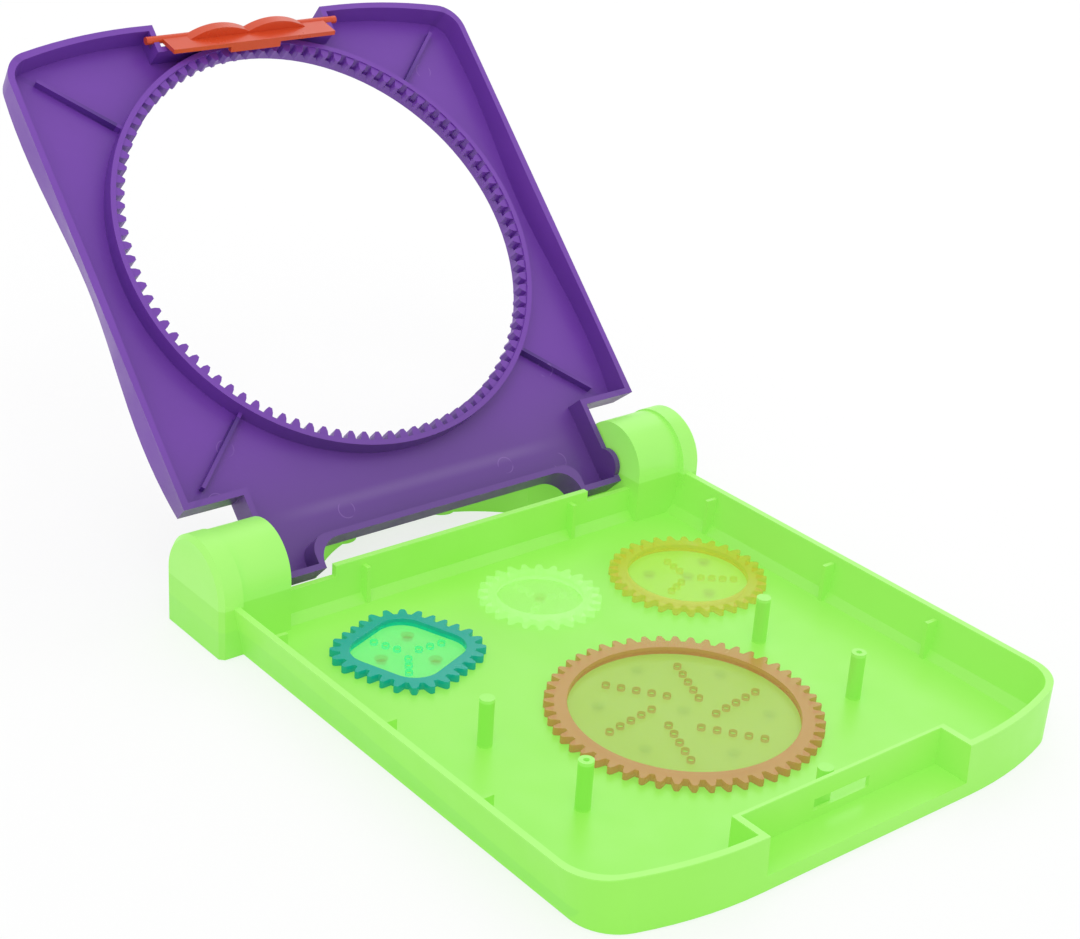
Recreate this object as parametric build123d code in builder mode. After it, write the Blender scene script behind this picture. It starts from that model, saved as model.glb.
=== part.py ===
from build123d import *
from math import asin, atan2, cos, degrees, pi, radians, sin, sqrt
import os

os.makedirs("parts", exist_ok=True)

# A folding spiral-drawing case: a shallow tray, a lid that carries a toothed
# ring, a latch, and loose toothed wheels with pen holes lying in the tray.
# Millimetres, +Z up, the front towards -Y. The origin is the middle of the
# tray's underside.

# ---- driving dimensions -------------------------------------------------
tray_width = 204.0        # across the rim
tray_foot_width = tray_width - 7.4   # across the underside
tray_front = 102.3        # origin to the front edge of the underside
tray_back = 102.0         # origin to the outside of the back wall
tray_height = 18.4
wall = 2.4
floor = 2.0
rim_setback = 0.9         # how far the front rim stands behind the front foot
floor_bevel = 3.0         # between the floor and the walls inside
front_flat = 45.0         # half length of the front wall's straight middle
front_bow = 136.6         # radius of the bow on each side of it
corner_radius = 16.0      # front corners in plan

hinge_y = 111.0           # hinge axis behind the origin
hinge_z = 20.7
lid_lean = 45.2           # how far the open lid leans back from upright

lid_width = tray_width - 2.0
lid_length = hinge_y + tray_front - rim_setback - 2.4   # hinge axis to its front edge
lid_rim = 2.0             # the skirt's rim stands this far inside the axis plane
lid_depth = 11.0          # rim to the outer face
lid_wall = 2.2
panel = 2.3
lid_foot = 24.0           # hinge axis to the lid's rear edge beside the tongue
lid_flat = 40.0           # half length of the front edge's straight middle
lid_corner = 12.0         # front corners in plan
lid_corner_back = 7.5     # where the front edge meets the sides, behind the front
lid_front_sag = 1.6       # how far the front edge bows between flat and corner
lid_bulge = 36.0          # the sides are widest this far in front of the foot
lid_shoulder = 160.0      # and again this far from the hinge axis
lid_flank = 2.6           # how far the outer face's sides draw in by the ring
lid_rim_inset = 0.6       # the rim's edge inside the stated width and length
lid_face_inset = 1.4      # and the outer face's
tongue_overlap = 12.0     # how far the tongue runs into the lid

block_inner = tray_width / 2 - 24.0   # inner face of each hinge block
block_outer = tray_width / 2 + 5.0
arm_outer = block_inner - 1.0         # half width over the two hinge arms
arm_inner = arm_outer - 19.3          # half width between them
arm_reach = 8.4           # how far the arms pass beyond the axis
window_edge = 1.6         # front edge of the window between the arms
window_radius = 9.0

tooth_module = 1.7
ring_teeth = 96
ring_centre = 113.8       # hinge axis to the ring's centre
ring_wall = 2.0
ring_rim = 1.0            # ring's rim inside the axis plane
ring_tooth_depth = 5.0    # length of the teeth along the ring's axis
ring_setback = 0.5        # the teeth start this far below the ring's rim
ring_lip = 0.8            # the lip behind the teeth stands in by this much
corner_rib = 1.4
corner_rib_height = 3.2
corner_rib_angle = 43.0
corner_rib_end = 119.0    # ring centre to the rib's far end

gap = 0.3                 # between parts that pass or rest near each other
shaft_gap = 0.06          # radial running clearance

# ---- hinge blocks and handle --------------------------------------------
barrel_radius = 16.3
cap_radius = 18.0
cap_shift = -1.0          # the cap is centred a little in front of the axis
cap_height = 19.9
cap_edge = 1.6
trunnion_radius = 3.5
trunnion_length = 6.5
ear_radius = 6.0

handle_radius = block_outer + 23.0   # outer edge of the handle in plan
handle_reach = 58.0       # hinge axis to the handle's outermost point
grip_radius = 62.9        # inner edge of the handle in plan
grip_reach = 36.0
handle_front = 13.5       # hinge axis to the handle's straight inner edge
handle_height = 18.0
handle_edge = 2.6
finger_bump = 2.0         # how far each bump stands into the grip
bump_radius = 6.0
bump_pitch = 23.0

# ---- posts, ribs, latch recess ------------------------------------------
post_radius = 2.5
post_top = 19.2
front_post_top = 18.2     # the front post stops under the wall of the lid's notch
post_hole_radius = 1.0
post_places = [(-66.0, 1.0), (-62.5, -43.0), (-3.5, -84.6), (54.5, -43.0), (54.0, 1.5)]
drilled_posts = [1, 3]
front_post = 2

side_rib_places = [73.0, 11.0, -38.0]
side_rib = 1.6
back_rib_places = [-45.0, 48.0]
back_rib = 1.6
rib_drop = 2.4            # the ribs stop this far below the rim
arm_notch = 4.4           # depth of the notches in the back wall for the arms
arm_notch_side = 1.0      # and their room on each side of an arm

# ---- latch --------------------------------------------------------------
latch_width = 71.0
latch_plate = 1.7
latch_drop = 10.3         # pin to the free edge
latch_pin_radius = 1.5
latch_pin_reach = 41.9    # pin ends from the middle
latch_v = lid_length - 6.6   # pin from the hinge axis along the lid
latch_n = 1.3             # pin inside the axis plane
latch_fold = 58.8         # how far the open latch lies over from square
hook_width = 21.8
hook_reach = 2.2
hook_height = 2.0
hook_room = 1.0           # around the hook in the catch pocket
grip_span = 26.0          # length of each of the two finger grips
grip_foot = 0.5
grip_valley = 1.6
grip_top = 4.4
grip_drop = 4.2
notch_half = 37.0         # half width of the notch in the lid's front edge
notch_depth = 10.0
notch_setback = 2.0       # its side walls start this far behind the front edge
recess_half = 43.0        # half width of the recess in the tray's front wall
recess_floor = 5.0
catch_depth = 1.6

# ---- wheels -------------------------------------------------------------
pen_radius = 1.4
pen_sides = 8             # the small pen holes are cut with this many flats
wheel_rim_height = 2.8
wheel_plate = 1.5
coral_teeth = 52
amber_teeth = 32
pale_teeth = 24
blue_teeth = 28
coral_place = (-0.5, -19.8)
amber_place = (63.4, 49.0)
pale_place = (7.5, 65.5)
blue_place = (-54.0, 59.5)
coral_rim = 38.2          # inside of the raised rim
amber_rim = 22.0
pale_rim = 15.5
blue_corner = 14.5        # corner radius at the pitch line
blue_rim = 5.0            # pitch line to the inside of the rim
blue_turn = 20.5
# Rows of pen holes: the first hole's radius, the step, and each row's angle
# from the wheel's middle with its number of holes.
coral_row_start = 10.5
coral_row_step = 5.15
coral_row_turn = 48.0     # each of the coral wheel's rows turns off its radius
coral_rows = [(60.0 * k - 40.0, 5) for k in range(6)]
amber_row_start = 5.0
amber_row_step = 4.0
amber_rows = [(-38.0, 4), (82.0, 3), (202.0, 3)]
pale_row_start = 4.5
pale_row_step = 4.2
pale_rows = [(-20.0, 3), (100.0, 3), (220.0, 3)]
blue_row_start = 4.2
blue_row_step = 4.5
blue_rows = [(-4.0, 3), (116.0, 3), (236.0, 3)]

# ---- worked-out values --------------------------------------------------
lean = radians(lid_lean)
lid_plane = Plane(
    origin=(0, hinge_y, hinge_z),
    x_dir=(1, 0, 0),
    z_dir=(0, -cos(lean), sin(lean)),
)
# On lid_plane, x runs across, y along the lid away from the hinge and z towards
# the lid's inside.
lid_outer = lid_rim - lid_depth
panel_inner = lid_outer + panel
lid_half = lid_width / 2
ring_pitch = tooth_module * ring_teeth / 2
ring_root = ring_pitch + 1.1 * tooth_module
ring_outer = ring_root + ring_wall


def tray_edge(half, front, back):
    """The tray's plan outline, with a bowed front and rounded corners."""
    flat = front_flat
    bow = front_bow
    drop = bow - sqrt(bow**2 - (half - flat) ** 2)
    turn = degrees(asin((half - flat) / bow))
    with BuildSketch() as sketch:
        with BuildLine():
            Line((-half, back), (-half, -front + drop))
            CenterArc((-flat, -front + bow), bow, 270 - turn, turn)
            Line((-flat, -front), (flat, -front))
            CenterArc((flat, -front + bow), bow, 270, turn)
            Line((half, -front + drop), (half, back))
            Line((half, back), (-half, back))
        make_face()
        corners = sketch.vertices().group_by(Axis.Y)[1]
        fillet(corners, radius=corner_radius)
    return sketch.sketch


# ---- tray ---------------------------------------------------------------
with BuildPart() as tray_outside:
    with BuildSketch():
        add(tray_edge(tray_foot_width / 2, tray_front, tray_back))
    with BuildSketch(Plane.XY.offset(tray_height)):
        add(tray_edge(tray_width / 2, tray_front - rim_setback, tray_back))
    loft(ruled=True)

draft = (tray_width - tray_foot_width) / 2 / tray_height
lift = 2.0
with BuildPart() as tray_inside:
    with BuildSketch(Plane.XY.offset(floor)):
        half = tray_foot_width / 2 + draft * floor - wall
        add(tray_edge(half, tray_front - wall, tray_back - wall))
    with BuildSketch(Plane.XY.offset(tray_height + lift)):
        half = tray_width / 2 + draft * lift - wall
        add(tray_edge(half, tray_front - rim_setback - wall, tray_back - wall))
    loft(ruled=True)
    chamfer(tray_inside.faces().sort_by(Axis.Z)[0].edges(), length=floor_bevel)

recess_back = hinge_y - (latch_v - latch_plate / 2 - hook_reach - gap)
with BuildPart() as recess_wall:
    with BuildSketch(Plane.XY.offset(floor / 2)):
        with Locations((0, (recess_back + wall - tray_front) / 2)):
            Rectangle(
                2 * (recess_half + wall),
                recess_back + wall + tray_front - wall,
            )
    extrude(amount=tray_height - floor / 2)


def tombstone(radius, middle, height):
    """An upright round-topped outline standing on the ground line."""
    with BuildSketch(Plane.XY) as sketch:
        with BuildLine():
            Line((middle - radius, 0), (middle + radius, 0))
            Line((middle + radius, 0), (middle + radius, height))
            CenterArc((middle, height), radius, 0, 180)
            Line((middle - radius, height), (middle - radius, 0))
        make_face()
    return sketch.sketch


def hinge_block(side):
    """One hinge block: an inner barrel and a wider outer cap, bored for the arm."""
    cap_inner = tray_foot_width / 2
    with BuildPart() as block:
        with BuildSketch(Plane.YZ.offset(side * block_inner)):
            add(tombstone(barrel_radius, hinge_y, hinge_z))
        extrude(amount=side * (cap_inner - block_inner))
        with BuildSketch(Plane.YZ.offset(side * cap_inner)):
            add(tombstone(cap_radius, hinge_y + cap_shift, cap_height))
        extrude(amount=side * (block_outer - cap_inner))
        outer_face = block.faces().sort_by(Axis.X)[-1 if side > 0 else 0]
        chamfer(outer_face.edges().filter_by(GeomType.CIRCLE), length=cap_edge)
        with BuildSketch(Plane.YZ.offset(side * block_inner)):
            with Locations((hinge_y, hinge_z)):
                Circle(trunnion_radius + shaft_gap)
        extrude(amount=side * (trunnion_length + 2 * gap), mode=Mode.SUBTRACT)
        with BuildSketch():
            with Locations((side * (block_inner + block_outer) / 2, hinge_y + cap_shift)):
                Rectangle(block_outer - block_inner - 2 * wall, 2 * (barrel_radius - wall))
        extrude(amount=hinge_z - ear_radius - wall, mode=Mode.SUBTRACT)
    return block.part


def handle_plan(inset):
    """The handle seen from above, drawn in by inset on its open edges."""
    reach = 2 * handle_radius
    with BuildSketch() as sketch:
        with Locations((0, hinge_y + handle_reach - handle_radius)):
            Circle(handle_radius - inset)
        with Locations((0, hinge_y + handle_front + inset - reach)):
            Rectangle(2 * reach, 2 * reach, mode=Mode.SUBTRACT)
        with Locations((0, hinge_y + grip_reach - grip_radius)):
            Circle(grip_radius + inset, mode=Mode.SUBTRACT)
        side = block_outer - wall + reach
        with Locations((side, hinge_y), (-side, hinge_y)):
            Rectangle(2 * reach, 2 * reach, mode=Mode.SUBTRACT)
    return sketch.sketch


with BuildPart() as handle:
    with BuildSketch():
        add(handle_plan(0))
    extrude(amount=handle_height)
    bump_ring = grip_radius + bump_radius - finger_bump
    with BuildSketch():
        for across in (-bump_pitch, 0.0, bump_pitch):
            along = sqrt(bump_ring**2 - across**2)
            with Locations((across, hinge_y + grip_reach - grip_radius + along)):
                Circle(bump_radius)
    extrude(amount=handle_height)
    chamfer(handle.faces().sort_by(Axis.Z)[-1].edges(), length=handle_edge)
    with BuildSketch():
        add(handle_plan(wall))
    extrude(amount=handle_height - wall, mode=Mode.SUBTRACT)

with BuildPart() as tray:
    add(tray_outside.part)
    add(tray_inside.part, mode=Mode.SUBTRACT)
    add(recess_wall.part)
    # the latch recess, open at the front and the rim
    with BuildSketch(Plane.XY.offset(recess_floor)):
        with Locations((0, recess_back - 50)):
            Rectangle(2 * recess_half, 100)
    extrude(amount=tray_height, mode=Mode.SUBTRACT)
    # the catch pocket for the latch's hook
    with BuildSketch(Plane.XZ.offset(-recess_back)):
        with Locations((0, hinge_z - latch_n - latch_drop + hook_height / 2)):
            Rectangle(hook_width + 2 * hook_room, hook_height + 2 * hook_room)
    extrude(amount=-catch_depth, mode=Mode.SUBTRACT)
    # notches in the back wall where the lid's arms pass
    notch_mid = (arm_inner + block_inner) / 2
    with BuildSketch(Plane.XY.offset(tray_height - arm_notch)):
        with Locations((notch_mid, tray_back), (-notch_mid, tray_back)):
            Rectangle(block_inner - arm_inner + 2 * arm_notch_side, 4 * wall)
    extrude(amount=tray_height, mode=Mode.SUBTRACT)
    # posts
    for number, (x, y) in enumerate(post_places):
        top = front_post_top if number == front_post else post_top
        with BuildSketch(Plane.XY.offset(floor)):
            with Locations((x, y)):
                Circle(post_radius)
                if number in drilled_posts:
                    Circle(post_hole_radius, mode=Mode.SUBTRACT)
        extrude(amount=top - floor)
    # ribs inside the side walls and the back wall
    with BuildSketch(Plane.XY.offset(floor / 2)):
        for y in side_rib_places:
            rib_x = tray_foot_width / 2 - wall
            with Locations((rib_x, y), (-rib_x, y)):
                Rectangle(2 * wall, side_rib)
        for x in back_rib_places:
            with Locations((x, tray_back - wall - 1.0)):
                Rectangle(back_rib, 2 * wall)
    extrude(amount=tray_height - rib_drop - floor / 2)
    for side in (1, -1):
        add(hinge_block(side))
    add(handle.part)
tray.part.label = "tray"
export_step(tray.part, "parts/tray.step")


# ---- lid ----------------------------------------------------------------
def lid_edge(inset, waist):
    """The lid's main outline on lid_plane; waist draws its sides in by the ring."""
    half = lid_half - inset
    front = lid_length - inset
    foot = lid_foot + inset
    flat = lid_flat
    corner_y = front - lid_corner_back
    bowed = front - lid_front_sag
    with BuildSketch(Plane.XY) as sketch:
        with BuildLine():
            Line((-half + waist / 2, foot), (half - waist / 2, foot))
            Spline(
                (half - waist / 2, foot),
                (half + waist / 4, foot + lid_bulge),
                (half - waist, ring_centre),
                (half, lid_shoulder),
                (half - waist / 2, corner_y),
            )
            ThreePointArc(
                (half - waist / 2, corner_y),
                ((half + flat) / 2, bowed),
                (flat, front),
            )
            Line((flat, front), (-flat, front))
            ThreePointArc(
                (-flat, front),
                (-(half + flat) / 2, bowed),
                (-half + waist / 2, corner_y),
            )
            Spline(
                (-half + waist / 2, corner_y),
                (-half, lid_shoulder),
                (-half + waist, ring_centre),
                (-half - waist / 4, foot + lid_bulge),
                (-half + waist / 2, foot),
            )
        make_face()
        corners = sketch.vertices().filter_by(lambda v: abs(v.Y - corner_y) < 0.01)
        fillet(corners, radius=lid_corner - inset)
    return sketch.sketch


def on_lid(height):
    """A plane parallel to the lid, height inside the axis plane."""
    return lid_plane.offset(height)


with BuildPart() as lid_outside:
    with BuildSketch(on_lid(lid_rim)):
        add(lid_edge(lid_rim_inset, 0.0))
    with BuildSketch(on_lid(lid_outer)):
        add(lid_edge(lid_face_inset, lid_flank))
    loft(ruled=True)

with BuildPart() as lid_inside:
    with BuildSketch(on_lid(lid_rim + lift)):
        add(lid_edge(lid_rim_inset + lid_wall, 0.0))
    with BuildSketch(on_lid(panel_inner)):
        add(lid_edge(lid_face_inset + lid_wall, lid_flank))
    loft(ruled=True)


def tongue_plan(inset):
    """The tongue that runs back to the hinge, with the window between its arms."""
    with BuildSketch(Plane.XY) as sketch:
        with BuildLine():
            Polyline(
                (-arm_outer + inset, lid_foot + tongue_overlap),
                (-arm_outer + inset, -arm_reach + inset),
                (-arm_inner - inset, -arm_reach + inset),
                (-arm_inner - inset, window_edge + inset),
                (arm_inner + inset, window_edge + inset),
                (arm_inner + inset, -arm_reach + inset),
                (arm_outer - inset, -arm_reach + inset),
                (arm_outer - inset, lid_foot + tongue_overlap),
                close=True,
            )
        make_face()
        inner = sketch.vertices().filter_by(lambda v: abs(v.Y - window_edge - inset) < 0.01)
        fillet(inner, radius=window_radius - inset)
    return sketch.sketch


def tooth(depth, foot, tip):
    """One tooth pointing along +X from a root line at x = 0, sunk a little."""
    sink = 0.6
    with BuildSketch(Plane.XY) as sketch:
        with BuildLine():
            Polyline(
                (-sink, -foot / 2),
                (0.55 * depth, -0.38 * foot),
                (depth, -tip / 2),
                (depth, tip / 2),
                (0.55 * depth, 0.38 * foot),
                (-sink, foot / 2),
                close=True,
            )
        make_face()
    return sketch.sketch


tooth_pitch = pi * tooth_module
tooth_depth = 2.0 * tooth_module
tooth_foot = 0.7 * tooth_pitch
tooth_tip = 0.24 * tooth_pitch

with BuildPart() as ring_tooth_row:
    with BuildSketch(on_lid(ring_rim - ring_setback)):
        with Locations((0, ring_centre)):
            Circle(ring_outer)
            Circle(ring_root, mode=Mode.SUBTRACT)
            with PolarLocations(ring_root, ring_teeth):
                add(tooth(tooth_depth, tooth_foot, tooth_tip), rotation=180)
    extrude(amount=-ring_tooth_depth)

with BuildPart() as lid:
    add(lid_outside.part)
    with BuildSketch(on_lid(lid_outer)):
        add(tongue_plan(0))
    extrude(amount=lid_depth)
    add(lid_inside.part, mode=Mode.SUBTRACT)
    with BuildSketch(on_lid(panel_inner)):
        add(tongue_plan(lid_wall))
    extrude(amount=lid_depth, mode=Mode.SUBTRACT)
    # the notch for the latch, walled on three sides
    notch_front = lid_length - notch_setback
    notch_back = lid_length - notch_depth
    with BuildSketch(on_lid(lid_outer)):
        with Locations((0, (notch_front + notch_back - lid_wall) / 2)):
            Rectangle(2 * (notch_half + lid_wall), notch_front - notch_back + lid_wall)
    extrude(amount=lid_depth)
    with BuildSketch(on_lid(lid_outer - lift)):
        with Locations((0, notch_back + notch_depth)):
            Rectangle(2 * notch_half, 2 * notch_depth)
    extrude(amount=lid_depth + 2 * lift, mode=Mode.SUBTRACT)
    # the ring's wall and the opening
    with BuildSketch(on_lid(lid_outer)):
        with Locations((0, ring_centre)):
            Circle(ring_outer)
    extrude(amount=ring_rim - lid_outer)
    with BuildSketch(on_lid(lid_outer - lift)):
        with Locations((0, ring_centre)):
            Circle(ring_root - ring_lip)
    extrude(amount=lid_depth + 2 * lift, mode=Mode.SUBTRACT)
    with BuildSketch(on_lid(ring_rim - ring_setback - ring_tooth_depth)):
        with Locations((0, ring_centre)):
            Circle(ring_root)
    extrude(amount=lid_depth, mode=Mode.SUBTRACT)
    add(ring_tooth_row.part)
    # ribs from the ring to the corners
    with BuildSketch(on_lid(panel_inner - panel / 2)):
        for angle in (corner_rib_angle, 180 - corner_rib_angle, -corner_rib_angle, corner_rib_angle - 180):
            middle = (corner_rib_end + ring_outer) / 2
            x = middle * cos(radians(angle))
            y = ring_centre + middle * sin(radians(angle))
            with Locations(Location((x, y, 0), (0, 0, angle))):
                Rectangle(corner_rib_end - ring_outer + 1.0, corner_rib)
    extrude(amount=panel / 2 + corner_rib_height)
    # ears and trunnions on the arms, square to the hinge axis
    for side in (1, -1):
        with BuildSketch(Plane.YZ.offset(side * (arm_outer - lid_wall))):
            with Locations((hinge_y, hinge_z)):
                Circle(ear_radius)
        extrude(amount=side * lid_wall)
        with BuildSketch(Plane.YZ.offset(side * (arm_outer - lid_wall))):
            with Locations((hinge_y, hinge_z)):
                Circle(trunnion_radius)
        extrude(amount=side * (block_inner + trunnion_length - arm_outer + lid_wall))
    # open seats for the latch's pins
    pin_y = hinge_y + latch_v * sin(lean) - latch_n * cos(lean)
    pin_z = hinge_z + latch_v * cos(lean) + latch_n * sin(lean)
    seat_plane = Plane(
        origin=(0, pin_y, pin_z),
        x_dir=(0, sin(lean), cos(lean)),
        z_dir=(1, 0, 0),
    )
    with BuildSketch(seat_plane):
        Circle(latch_pin_radius + shaft_gap)
        with Locations((0, -latch_pin_radius - 0.5)):
            Rectangle(1.7 * latch_pin_radius, 2 * latch_pin_radius + 1.0)
    extrude(amount=latch_pin_reach + 1, both=True, mode=Mode.SUBTRACT)
lid.part.label = "lid"
export_step(lid.part, "parts/lid.step")


# ---- latch --------------------------------------------------------------
fold = radians(latch_fold)
along = Vector(0, sin(lean), cos(lean))
inward = Vector(0, -cos(lean), sin(lean))
latch_down = along * -sin(fold) + inward * cos(fold)
latch_side = Plane(origin=(0, pin_y, pin_z), x_dir=latch_down, z_dir=(1, 0, 0))
latch_across = Plane(origin=(0, pin_y, pin_z), x_dir=(1, 0, 0), z_dir=latch_down)
with BuildPart() as latch:
    with BuildSketch(latch_side):
        with Locations((latch_drop / 2, 0)):
            Rectangle(latch_drop, latch_plate)
        Circle(latch_pin_radius)
    extrude(amount=latch_width / 2, both=True)
    with BuildSketch(latch_side):
        with Locations((latch_drop - hook_height / 2, hook_reach / 2)):
            Rectangle(hook_height, latch_plate + hook_reach)
    extrude(amount=hook_width / 2, both=True)
    with BuildSketch(latch_across):
        with BuildLine():
            ThreePointArc((-grip_span, grip_foot), (-grip_span / 2, grip_top), (0, grip_valley))
            ThreePointArc((0, grip_valley), (grip_span / 2, grip_top), (grip_span, grip_foot))
            Line((grip_span, grip_foot), (-grip_span, grip_foot))
        make_face()
    extrude(amount=grip_drop)
    with BuildSketch(latch_side):
        Circle(latch_pin_radius)
    extrude(amount=latch_pin_reach, both=True)
latch.part.label = "latch"
export_step(latch.part, "parts/latch.step")


# ---- wheels -------------------------------------------------------------
def polar(radius, angle):
    """The point at a radius and an angle in degrees."""
    return (radius * cos(radians(angle)), radius * sin(radians(angle)))


def pen_holes(rows, start, step, turn=0.0):
    """Pen holes in straight rows, each leaving its radius by turn."""
    places = []
    for angle, count in rows:
        x, y = polar(start, angle)
        dx, dy = polar(step, angle + turn)
        places += [(x + k * dx, y + k * dy) for k in range(count)]
    return places


def round_wheel(teeth, place, inner_rim, holes):
    """A toothed disc with a raised rim, lying flat on the tray's floor."""
    pitch_radius = tooth_module * teeth / 2
    root = pitch_radius - tooth_module
    with BuildPart() as wheel:
        with BuildSketch(Plane.XY.offset(floor)):
            with Locations(place):
                Circle(root)
                with PolarLocations(root, teeth):
                    add(tooth(tooth_depth, tooth_foot, tooth_tip))
        extrude(amount=wheel_rim_height)
        with BuildSketch(Plane.XY.offset(floor + wheel_plate)):
            with Locations(place):
                Circle(inner_rim)
        extrude(amount=wheel_rim_height, mode=Mode.SUBTRACT)
        with BuildSketch(Plane.XY.offset(floor)):
            with Locations(place):
                with Locations(*holes):
                    RegularPolygon(pen_radius, pen_sides)
        extrude(amount=wheel_plate, mode=Mode.SUBTRACT)
    return wheel.part


coral_holes = pen_holes(coral_rows, coral_row_start, coral_row_step, coral_row_turn)
with BuildPart() as coral_wheel:
    add(round_wheel(coral_teeth, coral_place, coral_rim, coral_holes))
coral_wheel.part.label = "coral_wheel"
export_step(coral_wheel.part, "parts/coral_wheel.step")

amber_holes = pen_holes(amber_rows, amber_row_start, amber_row_step)
with BuildPart() as amber_wheel:
    add(round_wheel(amber_teeth, amber_place, amber_rim, amber_holes))
amber_wheel.part.label = "amber_wheel"
export_step(amber_wheel.part, "parts/amber_wheel.step")

pale_holes = pen_holes(pale_rows, pale_row_start, pale_row_step)
with BuildPart() as pale_wheel:
    add(round_wheel(pale_teeth, pale_place, pale_rim, pale_holes))
pale_wheel.part.label = "pale_wheel"
export_step(pale_wheel.part, "parts/pale_wheel.step")

# The blue wheel's teeth run round a square with well-rounded corners, whose
# corner radius sets the length of its sides from the tooth pitch.
blue_side = (blue_teeth * tooth_pitch - 2 * pi * blue_corner) / 4


def round_square(grow):
    """The blue wheel's outline at its pitch line, grown by an amount."""
    size = blue_side + 2 * (blue_corner + grow)
    with BuildSketch(Plane.XY) as sketch:
        RectangleRounded(size, size, blue_corner + grow)
    return sketch.sketch


def blue_tooth_places(inset):
    """Where the teeth stand, evenly spaced along the rounded square."""
    outline = round_square(-inset).wire()
    places = []
    for k in range(blue_teeth):
        at = outline.location_at((k + 0.5) / blue_teeth)
        point = at.position
        ahead = outline.tangent_at((k + 0.5) / blue_teeth)
        places.append(Location((point.X, point.Y, 0), (0, 0, degrees(atan2(-ahead.X, ahead.Y)))))
    return places


blue_holes = pen_holes(blue_rows, blue_row_start, blue_row_step)
blue_at = Location((blue_place[0], blue_place[1], 0), (0, 0, blue_turn))
with BuildPart() as blue_wheel:
    with BuildSketch(Plane.XY.offset(floor)):
        with Locations(blue_at):
            add(round_square(-tooth_module))
            with Locations(*blue_tooth_places(tooth_module)):
                add(tooth(tooth_depth, tooth_foot, tooth_tip))
    extrude(amount=wheel_rim_height)
    with BuildSketch(Plane.XY.offset(floor + wheel_plate)):
        with Locations(blue_at):
            add(round_square(-blue_rim))
    extrude(amount=wheel_rim_height, mode=Mode.SUBTRACT)
    with BuildSketch(Plane.XY.offset(floor)):
        with Locations(blue_place):
            with Locations(*blue_holes):
                RegularPolygon(pen_radius, pen_sides)
    extrude(amount=wheel_plate, mode=Mode.SUBTRACT)
blue_wheel.part.label = "blue_wheel"
export_step(blue_wheel.part, "parts/blue_wheel.step")
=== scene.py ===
import math

import bpy
from mathutils import Matrix, Vector


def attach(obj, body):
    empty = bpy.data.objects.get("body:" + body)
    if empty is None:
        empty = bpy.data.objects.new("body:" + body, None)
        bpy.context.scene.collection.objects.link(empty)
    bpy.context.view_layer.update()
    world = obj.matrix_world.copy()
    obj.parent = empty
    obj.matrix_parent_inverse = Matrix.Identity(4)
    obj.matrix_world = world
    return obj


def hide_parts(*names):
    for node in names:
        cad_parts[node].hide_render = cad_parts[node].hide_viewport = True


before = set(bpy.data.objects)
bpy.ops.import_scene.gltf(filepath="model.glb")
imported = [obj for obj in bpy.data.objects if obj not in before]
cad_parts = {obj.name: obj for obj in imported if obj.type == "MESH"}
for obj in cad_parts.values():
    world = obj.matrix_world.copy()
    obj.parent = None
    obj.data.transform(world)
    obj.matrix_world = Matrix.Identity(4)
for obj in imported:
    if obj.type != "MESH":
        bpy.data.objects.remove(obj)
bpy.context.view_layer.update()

bl_info = {
    "name": "Spiral drawing case",
    "version": (1, 0, 0),
    "blender": (4, 5, 0),
    "location": "View3D > Sidebar > Drawing case",
    "description": "Looks for a folding spiral-drawing case",
    "category": "Object",
}

MM = 0.001

# ---- sizes repeated from the CAD part, millimetres ----------------------
FLOOR = 2.0
TOOTH_MODULE = 1.7
POSTS = ((-66.0, 1.0), (-62.5, -43.0), (-3.5, -84.6), (54.5, -43.0), (54.0, 1.5))
POST_RADIUS = 2.5
HINGE_Y, HINGE_Z = 111.0, 20.7
LID_LEAN = math.radians(45.2)
RING_CENTRE = 113.8          # along the lid from the hinge
RIB_ANGLE = math.radians(43.0)
LID_FACE = -6.7              # the lid's inner face, measured towards the inside of the hinge plane
WALL_FACE = 98.55            # the tray's outer side walls, from its middle
BLOCK_FRONT = 94.25          # where the hinge blocks begin
BLOCK_INNER = 77.0
TRAY_RIM = 18.1
PEN_RADIUS = 1.4

# ---- the camera, found from the photograph's straight edges -------------
CAMERA_PLACE = (-0.4173, -0.43304, 0.35917)
CAMERA_AZIMUTH = math.radians(-40.175)
CAMERA_ELEVATION = math.radians(25.046)
CAMERA_ROLL = math.radians(3.807)
CAMERA_LENS = 69.82
CAMERA_SENSOR = 36.0


# ---- node helpers --------------------------------------------------------
def new_group(name, inputs, outputs):
    """A shader node group with the named inputs and outputs, and its tree's two ends."""
    tree = bpy.data.node_groups.new(name, "ShaderNodeTree")
    for label, kind, default in inputs:
        socket = tree.interface.new_socket(label, in_out="INPUT", socket_type=kind)
        socket.default_value = default
    for label, kind in outputs:
        tree.interface.new_socket(label, in_out="OUTPUT", socket_type=kind)
    return tree, tree.nodes.new("NodeGroupInput"), tree.nodes.new("NodeGroupOutput")


def plug(tree, value, socket):
    """Links value to socket if it is a socket, or stores it there as a constant."""
    if isinstance(value, bpy.types.NodeSocket):
        tree.links.new(value, socket)
    else:
        socket.default_value = value


def maths(tree, operation, a, b=0.0, clamp=False):
    """A Math node; a and b are sockets or numbers."""
    node = tree.nodes.new("ShaderNodeMath")
    node.operation = operation
    node.use_clamp = clamp
    plug(tree, a, node.inputs[0])
    plug(tree, b, node.inputs[1])
    return node.outputs[0]


def ramp(tree, value, low, high, to_low=0.0, to_high=1.0):
    """value taken smoothly from low..high to to_low..to_high."""
    node = tree.nodes.new("ShaderNodeMapRange")
    node.interpolation_type = "SMOOTHSTEP"
    plug(tree, value, node.inputs["Value"])
    for label, number in (("From Min", low), ("From Max", high), ("To Min", to_low), ("To Max", to_high)):
        plug(tree, number, node.inputs[label])
    return node.outputs["Result"]


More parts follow.
